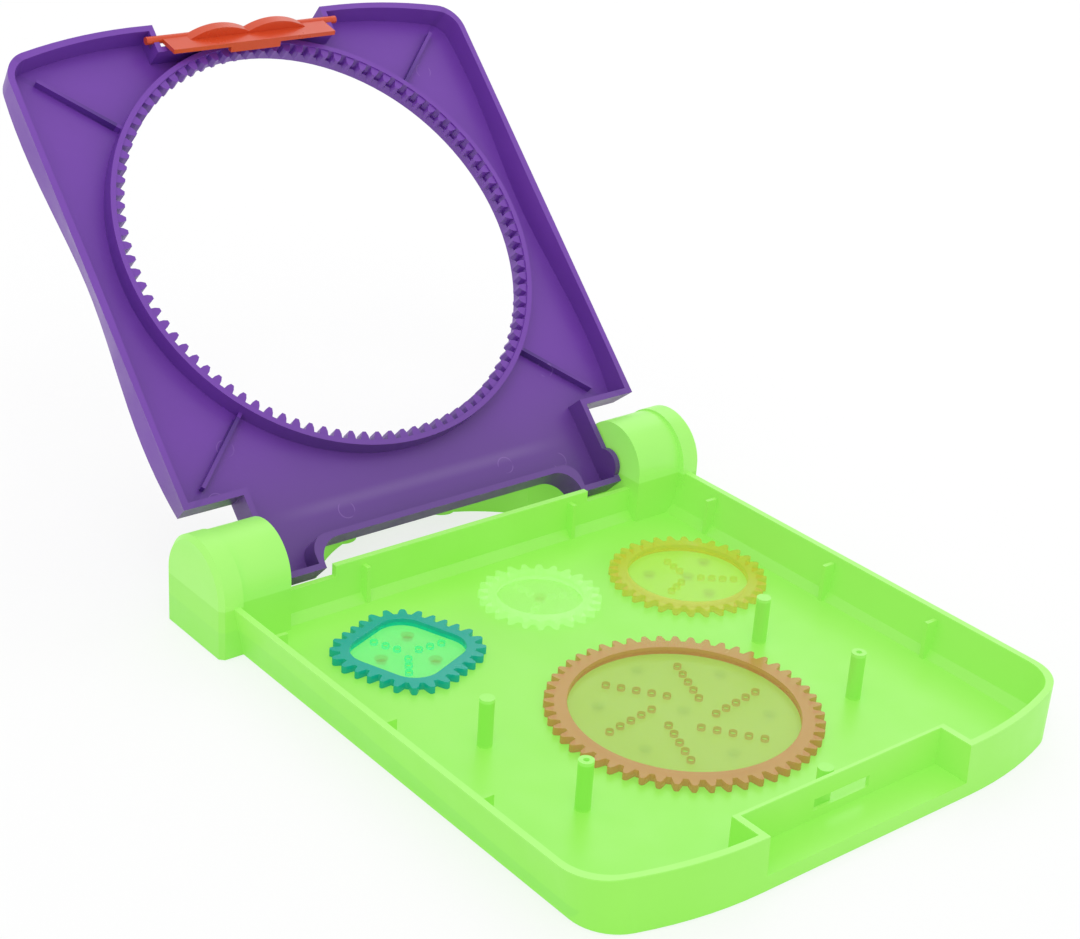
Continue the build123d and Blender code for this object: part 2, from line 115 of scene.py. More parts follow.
def between(tree, value, middle, half, *ends):
    """value taken smoothly from half below a place in millimetres to half above it."""
    return ramp(tree, value, (middle - half) * MM, (middle + half) * MM, *ends)


def share(tree, mask, amount):
    """A mask at part of its strength."""
    return maths(tree, "MULTIPLY", mask, amount)


def blend_colour(tree, factor, a, b):
    """Colour a where factor is 0 and b where it is 1."""
    node = tree.nodes.new("ShaderNodeMix")
    node.data_type = "RGBA"
    plug(tree, factor, node.inputs[0])
    plug(tree, a, node.inputs[6])
    plug(tree, b, node.inputs[7])
    return node.outputs[2]


def times(tree, value, factors):
    """A colour or vector with each part multiplied by its own factor."""
    node = tree.nodes.new("ShaderNodeVectorMath")
    node.operation = "MULTIPLY"
    plug(tree, value, node.inputs[0])
    node.inputs[1].default_value = factors
    return node.outputs[0]


def noise(tree, vector, scale, detail=3.0):
    """A noise texture's value."""
    node = tree.nodes.new("ShaderNodeTexNoise")
    plug(tree, vector, node.inputs["Vector"])
    node.inputs["Scale"].default_value = scale
    node.inputs["Detail"].default_value = detail
    return node.outputs["Fac"]


def group_node(tree, name, **values):
    """A use of a node group, with its inputs linked or set."""
    node = tree.nodes.new("ShaderNodeGroup")
    node.node_tree = bpy.data.node_groups[name]
    for label, value in values.items():
        plug(tree, value, node.inputs[label.replace("_", " ")])
    return node


def linear(red, green, blue):
    """A colour read off a screen, 0 to 255, as linear RGBA."""
    def one(v):
        v /= 255.0
        return v / 12.92 if v <= 0.04045 else ((v + 0.055) / 1.055) ** 2.4
    return (one(red), one(green), one(blue), 1.0)


# ---- shared effects ------------------------------------------------------
def build_plastic_grain():
    """Moulded plastic: slow mottling for the colour, fine grain for the bump, uneven gloss."""
    tree, start, end = new_group(
        "plastic_grain",
        [("Mottle", "NodeSocketFloat", 0.1), ("Roughness", "NodeSocketFloat", 0.35)],
        [("Shade", "NodeSocketFloat"), ("Roughness", "NodeSocketFloat"), ("Height", "NodeSocketFloat")],
    )
    place = tree.nodes.new("ShaderNodeTexCoord").outputs["Object"]
    slow = noise(tree, place, 28.0)
    flow = noise(tree, place, 90.0, 4.0)
    fine = noise(tree, place, 1400.0, 2.0)
    both = maths(tree, "ADD", maths(tree, "MULTIPLY", slow, 0.7), maths(tree, "MULTIPLY", flow, 0.3))
    swing = maths(tree, "MULTIPLY", maths(tree, "SUBTRACT", both, 0.5), start.outputs["Mottle"])
    plug(tree, maths(tree, "ADD", swing, 1.0), end.inputs["Shade"])
    worn = maths(tree, "MULTIPLY", maths(tree, "SUBTRACT", flow, 0.5), 0.25)
    plug(tree, maths(tree, "ADD", start.outputs["Roughness"], worn), end.inputs["Roughness"])
    plug(tree, maths(tree, "ADD", maths(tree, "MULTIPLY", fine, 0.15), slow), end.inputs["Height"])


def build_round_mark():
    """A mask for a round ejector mark: a thin ring, broken into an arc by noise, and its disc."""
    tree, start, end = new_group(
        "round_mark",
        [
            ("Place", "NodeSocketVector", (0.0, 0.0, 0.0)),
            ("Centre", "NodeSocketVector", (0.0, 0.0, 0.0)),
            ("Radius", "NodeSocketFloat", 0.004),
            ("Line", "NodeSocketFloat", 0.0003),
        ],
        [("Ring", "NodeSocketFloat"), ("Disc", "NodeSocketFloat")],
    )
    away = tree.nodes.new("ShaderNodeVectorMath")
    away.operation = "DISTANCE"
    plug(tree, start.outputs["Place"], away.inputs[0])
    plug(tree, start.outputs["Centre"], away.inputs[1])
    distance = away.outputs["Value"]
    off = maths(tree, "ABSOLUTE", maths(tree, "SUBTRACT", distance, start.outputs["Radius"]))
    ring = maths(tree, "SUBTRACT", 1.0, maths(tree, "DIVIDE", off, start.outputs["Line"]), clamp=True)
    broken = ramp(tree, noise(tree, start.outputs["Place"], 160.0, 1.0), 0.45, 0.55)
    plug(tree, maths(tree, "MULTIPLY", ring, broken), end.inputs["Ring"])
    inside = maths(tree, "SUBTRACT", start.outputs["Radius"], distance)
    disc = ramp(tree, inside, 0.0, 0.0006)
    plug(tree, disc, end.inputs["Disc"])


def build_post_zone():
    """A mask for the five posts of the tray."""
    tree, start, end = new_group(
        "post_zone",
        [("Place", "NodeSocketVector", (0.0, 0.0, 0.0))],
        [("Mask", "NodeSocketFloat")],
    )
    split = tree.nodes.new("ShaderNodeSeparateXYZ")
    plug(tree, start.outputs["Place"], split.inputs[0])
    flat = tree.nodes.new("ShaderNodeCombineXYZ")
    plug(tree, split.outputs["X"], flat.inputs["X"])
    plug(tree, split.outputs["Y"], flat.inputs["Y"])
    total = 0.0
    for x, y in POSTS:
        away = tree.nodes.new("ShaderNodeVectorMath")
        away.operation = "DISTANCE"
        plug(tree, flat.outputs[0], away.inputs[0])
        away.inputs[1].default_value = (x * MM, y * MM, 0.0)
        near = ramp(tree, away.outputs["Value"], POST_RADIUS * MM * 1.04, POST_RADIUS * MM * 1.5, 1.0, 0.0)
        total = maths(tree, "MAXIMUM", near, total)
    plug(tree, total, end.inputs["Mask"])


def build_lid_place():
    """Distances on the lid: across it, along it from the hinge, and inside the hinge plane."""
    tree, start, end = new_group(
        "lid_place",
        [("Place", "NodeSocketVector", (0.0, 0.0, 0.0))],
        [("Across", "NodeSocketFloat"), ("Along", "NodeSocketFloat"), ("Inside", "NodeSocketFloat")],
    )
    away = tree.nodes.new("ShaderNodeVectorMath")
    away.operation = "SUBTRACT"
    plug(tree, start.outputs["Place"], away.inputs[0])
    away.inputs[1].default_value = (0.0, HINGE_Y * MM, HINGE_Z * MM)
    sin, cos = math.sin(LID_LEAN), math.cos(LID_LEAN)
    axes = {"Across": (1.0, 0.0, 0.0), "Along": (0.0, sin, cos), "Inside": (0.0, -cos, sin)}
    for label, axis in axes.items():
        part = tree.nodes.new("ShaderNodeVectorMath")
        part.operation = "DOT_PRODUCT"
        plug(tree, away.outputs[0], part.inputs[0])
        part.inputs[1].default_value = axis
        plug(tree, part.outputs["Value"], end.inputs[label])


# ---- materials -----------------------------------------------------------
# each plastic's roughness, how mottled it is, its bump, and its painted glow: an emission of its own colour
# that stands in for light passing through the plastic and evens out its shading
FINISH = {
    "tray": {"roughness": 0.38, "mottle": 0.06, "bump": 0.12, "painted_glow": 0.72},
    "lid": {"roughness": 0.36, "mottle": 0.22, "bump": 0.18},
    "latch": {"roughness": 0.3, "mottle": 0.2, "bump": 0.12},
    "wheel": {"roughness": 0.22, "mottle": 0.12, "bump": 0.08, "painted_glow": 0.35},
}
BUMP_DEPTH = 0.4             # of every plastic's grain
FACE_TURN = (0.3, 0.8)       # a normal's upright share where a face stops being a side


def new_material(name):
    """A material with its tree, Principled shader and output."""
    material = bpy.data.materials.new(name)
    material.use_nodes = True
    tree = material.node_tree
    return material, tree, tree.nodes["Principled BSDF"]


def plastic(name, colour, tint=None, *, roughness, mottle, bump, painted_glow=0.0, alphas=None):
    """Moulded plastic with mottled colour.

    tint(tree, shade, height, place) may change the shade and the bump's height, and alphas are how
    solid it looks on its flat faces and on its upright ones.
    """
    material, tree, shader = new_material(name)
    place = tree.nodes.new("ShaderNodeTexCoord").outputs["Object"]
    grain = group_node(tree, "plastic_grain", Mottle=mottle, Roughness=roughness)
    scaled = tree.nodes.new("ShaderNodeVectorMath")
    scaled.operation = "SCALE"
    scaled.inputs[0].default_value = tuple(colour)[:3]
    plug(tree, grain.outputs["Shade"], scaled.inputs["Scale"])
    shade, height = scaled.outputs[0], grain.outputs["Height"]
    if tint:
        shade, height = tint(tree, shade, height, place)
    plug(tree, shade, shader.inputs["Base Color"])
    plug(tree, grain.outputs["Roughness"], shader.inputs["Roughness"])
    # painted glow: the surface emits its own shade, which flattens its shading
    if painted_glow:
        plug(tree, shade, shader.inputs["Emission Color"])
        shader.inputs["Emission Strength"].default_value = painted_glow
    if alphas:
        facing = tree.nodes.new("ShaderNodeSeparateXYZ")
        plug(tree, tree.nodes.new("ShaderNodeTexCoord").outputs["Normal"], facing.inputs[0])
        level = maths(tree, "ABSOLUTE", facing.outputs["Z"])
        plug(tree, ramp(tree, level, *FACE_TURN, alphas[1], alphas[0]), shader.inputs["Alpha"])
    relief = tree.nodes.new("ShaderNodeBump")
    relief.inputs["Strength"].default_value = bump
    relief.inputs["Distance"].default_value = BUMP_DEPTH * MM
    plug(tree, height, relief.inputs["Height"])
    plug(tree, relief.outputs["Normal"], shader.inputs["Normal"])
    return material


def lid_point(x, along, inside):
    """A point given on the open lid in millimetres, in the shared frame in metres."""
    y = HINGE_Y + along * math.sin(LID_LEAN) - inside * math.cos(LID_LEAN)
    z = HINGE_Z + along * math.cos(LID_LEAN) + inside * math.sin(LID_LEAN)
    return (x * MM, y * MM, z * MM)


def wear(node, material):
    """Puts one material on a CAD node's slots."""
    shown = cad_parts[node]
    if not shown.material_slots:
        shown.data.materials.append(material)
    for place in shown.material_slots:
        place.link = "OBJECT"
        place.material = material


# ---- settings ------------------------------------------------------------
class CaseLook(bpy.types.PropertyGroup):
    """Colours and finishes that a user would change."""

    tray_colour: bpy.props.FloatVectorProperty(
        name="Tray", description="Colour of the tray", subtype="COLOR", size=4, min=0.0, max=1.0,
        default=linear(118, 186, 66))
    lid_colour: bpy.props.FloatVectorProperty(
        name="Lid", description="Colour of the lid", subtype="COLOR", size=4, min=0.0, max=1.0,
        default=linear(114, 60, 168))
    latch_colour: bpy.props.FloatVectorProperty(
        name="Latch", description="Colour of the latch", subtype="COLOR", size=4, min=0.0, max=1.0,
        default=linear(208, 72, 34))
    coral_colour: bpy.props.FloatVectorProperty(
        name="Coral wheel", description="Colour of the coral wheel", subtype="COLOR", size=4,
        min=0.0, max=1.0, default=linear(172, 124, 66))
    amber_colour: bpy.props.FloatVectorProperty(
        name="Amber wheel", description="Colour of the amber wheel", subtype="COLOR", size=4,
        min=0.0, max=1.0, default=linear(184, 172, 44))
    blue_colour: bpy.props.FloatVectorProperty(
        name="Blue wheel", description="Colour of the blue wheel", subtype="COLOR", size=4,
        min=0.0, max=1.0, default=linear(8, 150, 132))
    pale_colour: bpy.props.FloatVectorProperty(
        name="Pale wheel", description="Colour of the nearly clear wheel", subtype="COLOR", size=4,
        min=0.0, max=1.0, default=linear(205, 250, 180))
    pen_radius: bpy.props.FloatProperty(
        name="Pen hole radius", description="Radius of the pen holes", unit="LENGTH", default=PEN_RADIUS * MM)


def look():
    """The scene's settings for the case."""
    return bpy.context.scene.case_look


# ---- tray ----------------------------------------------------------------
POST_GREEN = linear(92, 172, 52)
BLOCK_GREEN = linear(104, 180, 60)
LOW_SHADE_GREEN = linear(106, 178, 66)
RIM_HIGHLIGHT_GREEN = linear(150, 205, 112)
STREAK_GREEN = linear(134, 190, 90)
CREASE = {"front": -90.0, "back": 80.0, "low": 5.5, "high": 10.2}  # in the outer walls
STREAK_STRETCH = (1.0, 0.35, 1.0)


def post_mask(tree, place, z):
    """The posts above the floor."""
    posts = group_node(tree, "post_zone", Place=place).outputs["Mask"]
    return maths(tree, "MULTIPLY", posts, ramp(tree, z, (FLOOR + 0.05) * MM, (FLOOR + 1.2) * MM))


def block_mask(tree, place, sideways, y, z):
    """The hinge blocks, cloudy and stronger towards their tops."""
    behind = between(tree, y, BLOCK_FRONT, 1.25)
    block = maths(tree, "MULTIPLY", behind, between(tree, sideways, BLOCK_INNER, 0.5))
    cloudy = ramp(tree, noise(tree, place, 42.0, 2.0), 0.35, 0.65)
    high = ramp(tree, z, 4.0 * MM, 34.0 * MM)
    return maths(tree, "MULTIPLY", block, maths(tree, "MULTIPLY", high, cloudy))


def low_band_shade_mask(tree, sideways, y, z):
    """Painted shade on the outer walls below a crease that falls towards the front."""
    fall = ramp(tree, y, *(CREASE[end] * MM for end in ("front", "back", "low", "high")))
    over = between(tree, maths(tree, "SUBTRACT", z, fall), 0.0, 0.6)
    outer = between(tree, sideways, WALL_FACE, 0.15)
    return maths(tree, "MULTIPLY", outer, maths(tree, "SUBTRACT", 1.0, over))


def streak_mask(tree, place):
    """Long soft streaks where the plastic flowed in from the middle of the floor."""
    return ramp(tree, noise(tree, times(tree, place, STREAK_STRETCH), 16.0, 2.0), 0.35, 0.7)


def tray_tint(tree, shade, height, place):
    """Thicker plastic looks deeper green, the outer walls get painted shade below their crease, the rim gets
    a painted highlight from its top edge up, and the flow streaks look paler.
    """
    split = tree.nodes.new("ShaderNodeSeparateXYZ")
    plug(tree, place, split.inputs[0])
    y, z = split.outputs["Y"], split.outputs["Z"]
    sideways = maths(tree, "ABSOLUTE", split.outputs["X"])
    shade = blend_colour(tree, share(tree, post_mask(tree, place, z), 0.3), shade, POST_GREEN)
    shade = blend_colour(tree, share(tree, block_mask(tree, place, sideways, y, z), 0.3), shade, BLOCK_GREEN)
    # painted shade: the outer walls darker below the crease
    shade = blend_colour(tree, share(tree, low_band_shade_mask(tree, sideways, y, z), 0.45), shade, LOW_SHADE_GREEN)
    # painted highlight: the rim's top edge and everything above it made paler
    shade = blend_colour(tree, share(tree, between(tree, z, TRAY_RIM, 0.3), 0.35), shade, RIM_HIGHLIGHT_GREEN)
    shade = blend_colour(tree, share(tree, streak_mask(tree, place), 0.3), shade, STREAK_GREEN)
    return shade, height


class CASE_OT_tray(bpy.types.Operator):
    """Gives the tray its green plastic, with a painted glow standing in for its translucency."""

    bl_idname = "case.tray"
    bl_label = "Tray"

    def execute(self, context):
        """Builds the tray's material and puts it on."""
        green = plastic("tray_green", look().tray_colour, tray_tint, **FINISH["tray"])
        wear("tray", green)
        return {"FINISHED"}


# ---- lid -----------------------------------------------------------------
# ejector marks on the inner face: how far across, and along from the hinge
MARKS = (
    (-83.0, 27.0), (-36.0, 12.0), (36.0, 12.0), (60.0, 8.0), (72.0, 45.0), (-72.0, 45.0), (78.0, 180.0),
)
MARK_RADIUS = 3.2
HINGE_PURPLE = linear(90, 66, 124)
BAND_PURPLE = linear(150, 128, 180)
RIB_SHADE_PURPLE = linear(66, 34, 118)
MARK_PURPLE = linear(165, 125, 205)
HINGE_REACH = 60.0           # how far the greyer plastic runs from the hinge
BAND_ALONG = 15.5            # the soft light band over the tongue
RIB_START, RIB_END = 87.5, 119.0
RIB_HALF = 1.05


def mark_mask(tree, place):
    """The thin broken rings of the ejector marks."""
    rings = 0.0
    for x, along in MARKS:
        centre = lid_point(x, along, LID_FACE)
        mark = group_node(tree, "round_mark", Place=place, Centre=centre, Radius=MARK_RADIUS * MM)
        rings = maths(tree, "MAXIMUM", mark.outputs["Ring"], rings)
    return rings


def rib_shade_mask(tree, across, along, inside):
    """Painted shade along the corner ribs on the inner face, darkest beside the ring."""
    up = maths(tree, "ABSOLUTE", maths(tree, "SUBTRACT", along, RING_CENTRE * MM))
    cos, sin = math.cos(RIB_ANGLE), math.sin(RIB_ANGLE)
    out = maths(tree, "ADD", maths(tree, "MULTIPLY", across, cos), maths(tree, "MULTIPLY", up, sin))
    off = maths(tree, "SUBTRACT", maths(tree, "MULTIPLY", up, cos), maths(tree, "MULTIPLY", across, sin))
    rib = between(tree, maths(tree, "ABSOLUTE", off), RIB_HALF, 0.25, 1.0, 0.0)
    rib = maths(tree, "MULTIPLY", rib, ramp(tree, out, 89.0 * MM, RIB_END * MM, 0.75, 0.15))
    rib = maths(tree, "MULTIPLY", rib, between(tree, out, RIB_START, 0.2))
    return maths(tree, "MULTIPLY", rib, between(tree, inside, LID_FACE - 0.8, 0.3))


def band_mask(tree, across, along):
    """A soft light band over the middle of the tongue."""
    off = maths(tree, "ABSOLUTE", maths(tree, "SUBTRACT", along, BAND_ALONG * MM))
    band = ramp(tree, off, 0.0, 3.5 * MM, 0.22, 0.0)
    return maths(tree, "MULTIPLY", band, ramp(tree, across, 40.0 * MM, 70.0 * MM, 1.0, 0.0))


def lid_tint(tree, shade, height, place):
    """The lid's plastic: greyer at the hinge, with painted shade along the corner ribs, and ejector marks."""
    rings = mark_mask(tree, place)
    measured = group_node(tree, "lid_place", Place=place)
    along, inside = measured.outputs["Along"], measured.outputs["Inside"]
    across = maths(tree, "ABSOLUTE", measured.outputs["Across"])
    near_hinge = ramp(tree, along, 0.0, HINGE_REACH * MM, 1.0, 0.0)
    shade = blend_colour(tree, share(tree, near_hinge, 0.6), shade, HINGE_PURPLE)
    shade = blend_colour(tree, band_mask(tree, across, along), shade, BAND_PURPLE)
    # painted shade darkens the corner ribs
    shade = blend_colour(tree, rib_shade_mask(tree, across, along, inside), shade, RIB_SHADE_PURPLE)
    shade = blend_colour(tree, share(tree, rings, 0.4), shade, MARK_PURPLE)
    return shade, maths(tree, "ADD", height, share(tree, rings, 0.4))


class CASE_OT_lid(bpy.types.Operator):
    """Gives the lid its purple plastic."""

    bl_idname = "case.lid"
    bl_label = "Lid"

    def execute(self, context):
        """Builds the lid's material and puts it on."""
        purple = plastic("lid_purple", look().lid_colour, lid_tint, **FINISH["lid"])
        wear("lid", purple)
        return {"FINISHED"}


class CASE_OT_latch(bpy.types.Operator):
    """Gives the latch its orange plastic."""

    bl_idname = "case.latch"
    bl_label = "Latch"

    def execute(self, context):
        """Builds the latch's material and puts it on."""
        orange = plastic("latch_orange", look().latch_colour, **FINISH["latch"])
        wear("latch", orange)
        return {"FINISHED"}


# ---- wheels --------------------------------------------------------------
# One tooth over its pitch: how far along the pitch, and how high above the root.
TOOTH_SHAPE = (
    (-0.36, 0.0), (-0.31, 0.22), (-0.255, 0.48), (-0.19, 0.76), (-0.13, 0.94), (-0.06, 1.0),
    (0.06, 1.0), (0.13, 0.94), (0.19, 0.76), (0.255, 0.48), (0.31, 0.22), (0.36, 0.0),
)
WHEEL_RIM = 2.8
WHEEL_PLATE = 1.5
WHEEL_LIFT = 0.08
RIM_EDGE, PLATE_EDGE = 0.12, 0.06   # how far their edges are rounded
RIM_STEPS = 96
HOLE_SIDES = 20

# name: (place, teeth, inside of the rim, hole rows as (angle, count), first, step, turn)
ROUND_WHEELS = {
    "coral": ((-0.5, -19.8), 52, 38.2, tuple((60.0 * k - 40.0, 5) for k in range(6)), 10.5, 5.15, 48.0),
    "amber": ((63.4, 49.0), 32, 22.0, ((-38.0, 4), (82.0, 3), (202.0, 3)), 5.0, 4.0, 0.0),
    "pale": ((7.5, 65.5), 24, 15.5, ((-20.0, 3), (100.0, 3), (220.0, 3)), 4.5, 4.2, 0.0),
}
BLUE_PLACE = (-54.0, 59.5)
BLUE_TEETH = 28
BLUE_CORNER = 14.5
BLUE_RIM = 5.0
BLUE_TURN = 20.5
BLUE_ROWS = ((-4.0, 3), (116.0, 3), (236.0, 3))
BLUE_FIRST, BLUE_STEP = 4.2, 4.5


def polar(radius, angle):
    """The point at a radius and an angle in degrees."""
    return (radius * math.cos(math.radians(angle)), radius * math.sin(math.radians(angle)))


# where the mould's pins left round spots on each wheel, from its middle, and how they change it
SPOT_RADIUS = 2.7
SPOT_TONE = (0.6, 0.05, 0.2)
SPOTS = {
    "coral": ((0.0, 0.0), *(polar(28.0, 60.0 * k + 22.0) for k in range(6))),
    "amber": ((0.0, 0.0), polar(14.0, 22.0), polar(14.0, 142.0), polar(14.0, 262.0)),
    "pale": ((0.0, 0.0),),
    "blue": (polar(10.5, 56.0), polar(10.5, 176.0), polar(10.5, 296.0)),
}
# how solid each wheel's plate, its rim and the walls of its pen holes look
WHEEL_ALPHAS = {
    "coral": (0.18, 0.66, 0.6), "amber": (0.16, 0.42, 0.45), "pale": (0.05, 0.12, 0.15),
    "blue": (0.18, 0.9, 0.6),
}
# how much lighter than its rim each wheel's plate looks, for red, green and blue
PLATE_TONE = {
    "coral": (1.0, 1.0, 1.0), "amber": (1.05, 1.25, 1.6), "pale": (1.0, 1.0, 1.0), "blue": (1.0, 2.3, 1.4),
}


def circle(radius, steps, centre=(0.0, 0.0)):
    """The points of a circle."""
    turns = (360.0 * k / steps for k in range(steps))
    return [(centre[0] + x, centre[1] + y) for x, y in (polar(radius, t) for t in turns)]


def pen_holes(rows, first, step, turn):
    """The outlines of straight rows of pen holes."""
    outlines = []
    for angle, count in rows:
        x, y = polar(first, angle)
        dx, dy = polar(step, angle + turn)
        for k in range(count):
            centre = (x + k * dx, y + k * dy)
            outlines.append(circle(look().pen_radius / MM, HOLE_SIDES, centre))
    return outlines


def round_path(radius):
    """A circle as a function from a share of its length to a point and its outward normal."""
    def at(share):
        normal = polar(1.0, 360.0 * share)
        return (radius * normal[0], radius * normal[1]), normal
    return at


def square_path(half, corner):
    """A square with round corners as a function from a share of its length, turned by BLUE_TURN."""
    side, arc = 2 * (half - corner), math.pi / 2 * corner
    quarter = side + arc

    def at(share):
        length = (share % 1.0) * 4 * quarter
        number, rest = divmod(length, quarter)
        if rest < side:
            point, normal = (half, rest - side / 2), (1.0, 0.0)
        else:
            bend = math.degrees((rest - side) / corner)
            normal = polar(1.0, bend)
            point = (half - corner + corner * normal[0], half - corner + corner * normal[1])
        turn = 90.0 * number + BLUE_TURN
        cos, sin = polar(1.0, turn)
        turned = [(cos * x - sin * y, sin * x + cos * y) for x, y in (point, normal)]
        return turned[0], turned[1]
    return at


def toothed(path, teeth):
    """The outline of a toothed rim whose roots lie on path."""
    outline = []
    for k in range(teeth):
        for along, high in TOOTH_SHAPE:
            point, normal = path((k + 0.5 + along) / teeth)
            depth = 2 * TOOTH_MODULE * high
            outline.append((point[0] + normal[0] * depth, point[1] + normal[1] * depth))
    return outline


def cut_sheet(name, outlines, place, low, high, edge):
    """A flat piece with the given outlines and rounded edges, between two heights. Millimetres."""
    curve = bpy.data.curves.new(name, "CURVE")
    curve.dimensions = "2D"
    curve.fill_mode = "BOTH"
    curve.extrude = ((high - low) / 2 - edge) * MM
    curve.bevel_depth = edge * MM
    curve.bevel_resolution = 1
    curve.offset = -edge * MM
    for outline in outlines:
        spline = curve.splines.new("POLY")
        spline.points.add(len(outline) - 1)
        for point, (x, y) in zip(spline.points, outline):
            point.co = (x * MM, y * MM, 0.0, 1.0)
        spline.use_cyclic_u = True
    shaped = bpy.data.objects.new(name + "_curve", curve)
    bpy.context.scene.collection.objects.link(shaped)
    bpy.context.view_layer.update()
    graph = bpy.context.evaluated_depsgraph_get()
    mesh = bpy.data.meshes.new_from_object(shaped.evaluated_get(graph))
    bpy.data.objects.remove(shaped)
    mesh.transform(Matrix.Translation((place[0] * MM, place[1] * MM, (low + high) / 2 * MM)))
    piece = bpy.data.objects.new(name, mesh)
    bpy.context.scene.collection.objects.link(piece)
    return piece


def plate_tint(name, place):
    """A tint for a wheel's plate: its tone, and round spots where the mould's pins pushed it out."""
    def tint(tree, shade, height, where):
        total = 0.0
        for x, y in SPOTS[name]:
            centre = ((place[0] + x) * MM, (place[1] + y) * MM, (FLOOR + WHEEL_PLATE) * MM)
            mark = group_node(tree, "round_mark", Place=where, Centre=centre, Radius=SPOT_RADIUS * MM)
            total = maths(tree, "MAXIMUM", mark.outputs["Disc"], total)
        shade = times(tree, shade, PLATE_TONE[name])
        return blend_colour(tree, total, shade, times(tree, shade, SPOT_TONE)), height
    return tint


def make_wheel(name, place, rim_outline, hole_outline, holes, colour):
    """A wheel's raised toothed rim and thin drilled plate, standing for its CAD node."""
    base = FLOOR + WHEEL_LIFT
    top = FLOOR + WHEEL_RIM
    rim = cut_sheet(name + "_rim", [rim_outline, hole_outline], place, base, top, RIM_EDGE)
    low_top = FLOOR + WHEEL_PLATE
    plate = cut_sheet(name + "_plate", [hole_outline, *holes], place, base, low_top, PLATE_EDGE)
    flat, solid, upright = WHEEL_ALPHAS[name]
    dressed = ((rim, None, (solid, solid)), (plate, plate_tint(name, place), (flat, upright)))
    for piece, tint, ends in dressed:
        finish = plastic(piece.name, colour, tint, alphas=ends, **FINISH["wheel"])
        piece.data.materials.append(finish)
        piece.visible_shadow = False
        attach(piece, name)
        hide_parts(name + "_wheel")


class CASE_OT_wheels(bpy.types.Operator):
    """Builds the four loose wheels with fine teeth and round pen holes."""

    bl_idname = "case.wheels"
    bl_label = "Wheels"

    def execute(self, context):
        """Builds the three round wheels and the rounded-square one."""
        colours = {"coral": look().coral_colour, "amber": look().amber_colour, "pale": look().pale_colour}
        for name, (place, teeth, inner, rows, first, step, turn) in ROUND_WHEELS.items():
            root = TOOTH_MODULE * teeth / 2 - TOOTH_MODULE
            outline = toothed(round_path(root), teeth)
            holes = pen_holes(rows, first, step, turn)
            make_wheel(name, place, outline, circle(inner, RIM_STEPS), holes, colours[name])
        pitch = math.pi * TOOTH_MODULE
        half = (BLUE_TEETH * pitch - 2 * math.pi * BLUE_CORNER) / 8 + BLUE_CORNER
        outline = toothed(square_path(half - TOOTH_MODULE, BLUE_CORNER - TOOTH_MODULE), BLUE_TEETH)
        inner_path = square_path(half - BLUE_RIM, BLUE_CORNER - BLUE_RIM)
        inner = [inner_path(k / RIM_STEPS)[0] for k in range(RIM_STEPS)]
        holes = pen_holes(BLUE_ROWS, BLUE_FIRST, BLUE_STEP, 0.0)
        make_wheel("blue", BLUE_PLACE, outline, inner, holes, look().blue_colour)
        return {"FINISHED"}


# ---- stage ---------------------------------------------------------------
FLOOR_REACH = 6.0            # metres, from the middle
FLOOR_DROP = 0.4             # millimetres under the case
LIGHTS = (
    ("key", (-0.5, -0.55, 1.3), 0.9, 4.0),
    ("rim", (0.9, 0.7, 1.0), 0.8, 2.0),
)
LIGHT_TARGET = (0.0, 0.03, 0.03)
SKY_STRENGTH = 0.9
WHITE = (1.0, 1.0, 1.0, 1.0)
FLOOR_LIGHT, FLOOR_SHADE = (0.9, 0.9, 0.9, 1.0), (0.8, 0.8, 0.8, 1.0)
FLOOR_SEEN = (0.2, 0.2, 0.2, 1.0)
FLOOR_GLOW = 0.75


def area_light(name, place, size, energy):
    """A square soft light aimed at the case."""
    lamp = bpy.data.lights.new(name, "AREA")
    lamp.shape = "SQUARE"
    lamp.size = size
    lamp.energy = energy
    stand = bpy.data.objects.new(name, lamp)
    stand.location = place
    aim = Vector(LIGHT_TARGET) - Vector(place)
    stand.rotation_euler = aim.to_track_quat("-Z", "Y").to_euler()
    bpy.context.scene.collection.objects.link(stand)


def floor_material():
    """A white floor that keeps a faint shadow. The camera sees it partly lit from within."""
    material, tree, shader = new_material("stage_white")
    place = tree.nodes.new("ShaderNodeTexCoord").outputs["Object"]
    grain = noise(tree, place, 60.0)
    plug(tree, ramp(tree, grain, 0.0, 1.0, 0.78, 0.82), shader.inputs["Roughness"])
    seen = tree.nodes.new("ShaderNodeLightPath").outputs["Is Camera Ray"]
    white = blend_colour(tree, share(tree, grain, 0.02), FLOOR_LIGHT, FLOOR_SHADE)
    shade = blend_colour(tree, seen, white, FLOOR_SEEN)
    plug(tree, shade, shader.inputs["Base Color"])
    shader.inputs["Emission Color"].default_value = WHITE
    plug(tree, share(tree, seen, FLOOR_GLOW), shader.inputs["Emission Strength"])
    return material


def add_floor():
    """A wide flat floor just under the case."""
    far = FLOOR_REACH
    corners = [(-far, -far, 0), (far, -far, 0), (far, far, 0), (-far, far, 0)]
    mesh = bpy.data.meshes.new("stage_floor")
    mesh.from_pydata(corners, [], [(0, 1, 2, 3)])
    ground = bpy.data.objects.new("stage_floor", mesh)
    ground.location.z = -FLOOR_DROP * MM
    bpy.context.scene.collection.objects.link(ground)
    mesh.materials.append(floor_material())


def add_sky():
    """Even white light from all around."""
    world = bpy.data.worlds.new("soft_studio")
    world.use_nodes = True
    sky = world.node_tree.nodes["Background"]
    sky.inputs["Color"].default_value = WHITE
    sky.inputs["Strength"].default_value = SKY_STRENGTH
    bpy.context.scene.world = world


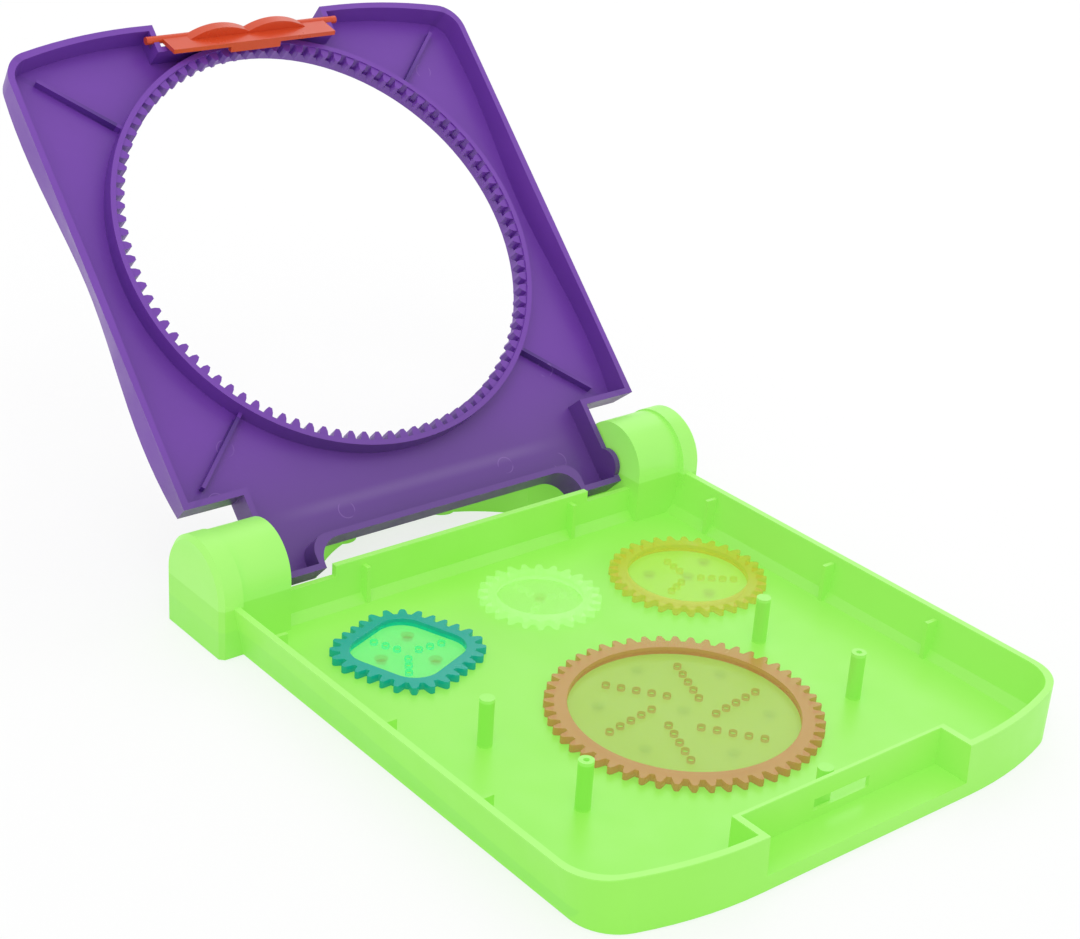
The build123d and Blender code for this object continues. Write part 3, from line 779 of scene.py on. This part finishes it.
def add_camera():
    """The camera where the photograph's was."""
    back = Vector((
        math.sin(CAMERA_AZIMUTH) * math.cos(CAMERA_ELEVATION),
        -math.cos(CAMERA_AZIMUTH) * math.cos(CAMERA_ELEVATION),
        math.sin(CAMERA_ELEVATION),
    ))
    level = Vector((math.cos(CAMERA_AZIMUTH), math.sin(CAMERA_AZIMUTH), 0.0))
    upright = back.cross(level)
    right = math.cos(CAMERA_ROLL) * level + math.sin(CAMERA_ROLL) * upright
    up = -math.sin(CAMERA_ROLL) * level + math.cos(CAMERA_ROLL) * upright
    lens = bpy.data.cameras.new("camera")
    lens.lens = CAMERA_LENS
    lens.sensor_fit = "HORIZONTAL"
    lens.sensor_width = CAMERA_SENSOR
    camera = bpy.data.objects.new("camera", lens)
    turn = Matrix((right, up, back)).transposed().to_4x4()
    camera.matrix_world = Matrix.Translation(CAMERA_PLACE) @ turn
    bpy.context.scene.collection.objects.link(camera)
    bpy.context.scene.camera = camera


class CASE_OT_stage(bpy.types.Operator):
    """Sets up the floor, the light and the camera."""

    bl_idname = "case.stage"
    bl_label = "Stage"

    def execute(self, context):
        """Builds the stage."""
        add_floor()
        add_sky()
        for light in LIGHTS:
            area_light(*light)
        add_camera()
        bpy.context.scene.view_settings.view_transform = "Standard"
        return {"FINISHED"}


class CASE_PT_panel(bpy.types.Panel):
    """The case's colours and steps in the 3D view's sidebar."""

    bl_label = "Drawing case"
    bl_idname = "CASE_PT_panel"
    bl_space_type = "VIEW_3D"
    bl_region_type = "UI"
    bl_category = "Drawing case"

    def draw(self, context):
        """Lists the settings, then one button for each step."""
        for setting in CaseLook.__annotations__:
            self.layout.prop(context.scene.case_look, setting)
        for step in STEPS:
            self.layout.operator(step.bl_idname)


STEPS = (CASE_OT_tray, CASE_OT_lid, CASE_OT_latch, CASE_OT_wheels, CASE_OT_stage)
CLASSES = (CaseLook, *STEPS, CASE_PT_panel)


def register():
    """Adds the classes, the settings and the shared node groups."""
    for item in CLASSES:
        bpy.utils.register_class(item)
    bpy.types.Scene.case_look = bpy.props.PointerProperty(type=CaseLook)
    build_plastic_grain()
    build_round_mark()
    build_post_zone()
    build_lid_place()


def unregister():
    """Takes the classes and settings away again."""
    del bpy.types.Scene.case_look
    for item in reversed(CLASSES):
        bpy.utils.unregister_class(item)


def main():
    """Builds the whole scene."""
    register()
    bpy.ops.case.tray()
    bpy.ops.case.lid()
    bpy.ops.case.latch()
    bpy.ops.case.wheels()
    bpy.ops.case.stage()


if __name__ == "__main__":
    main()
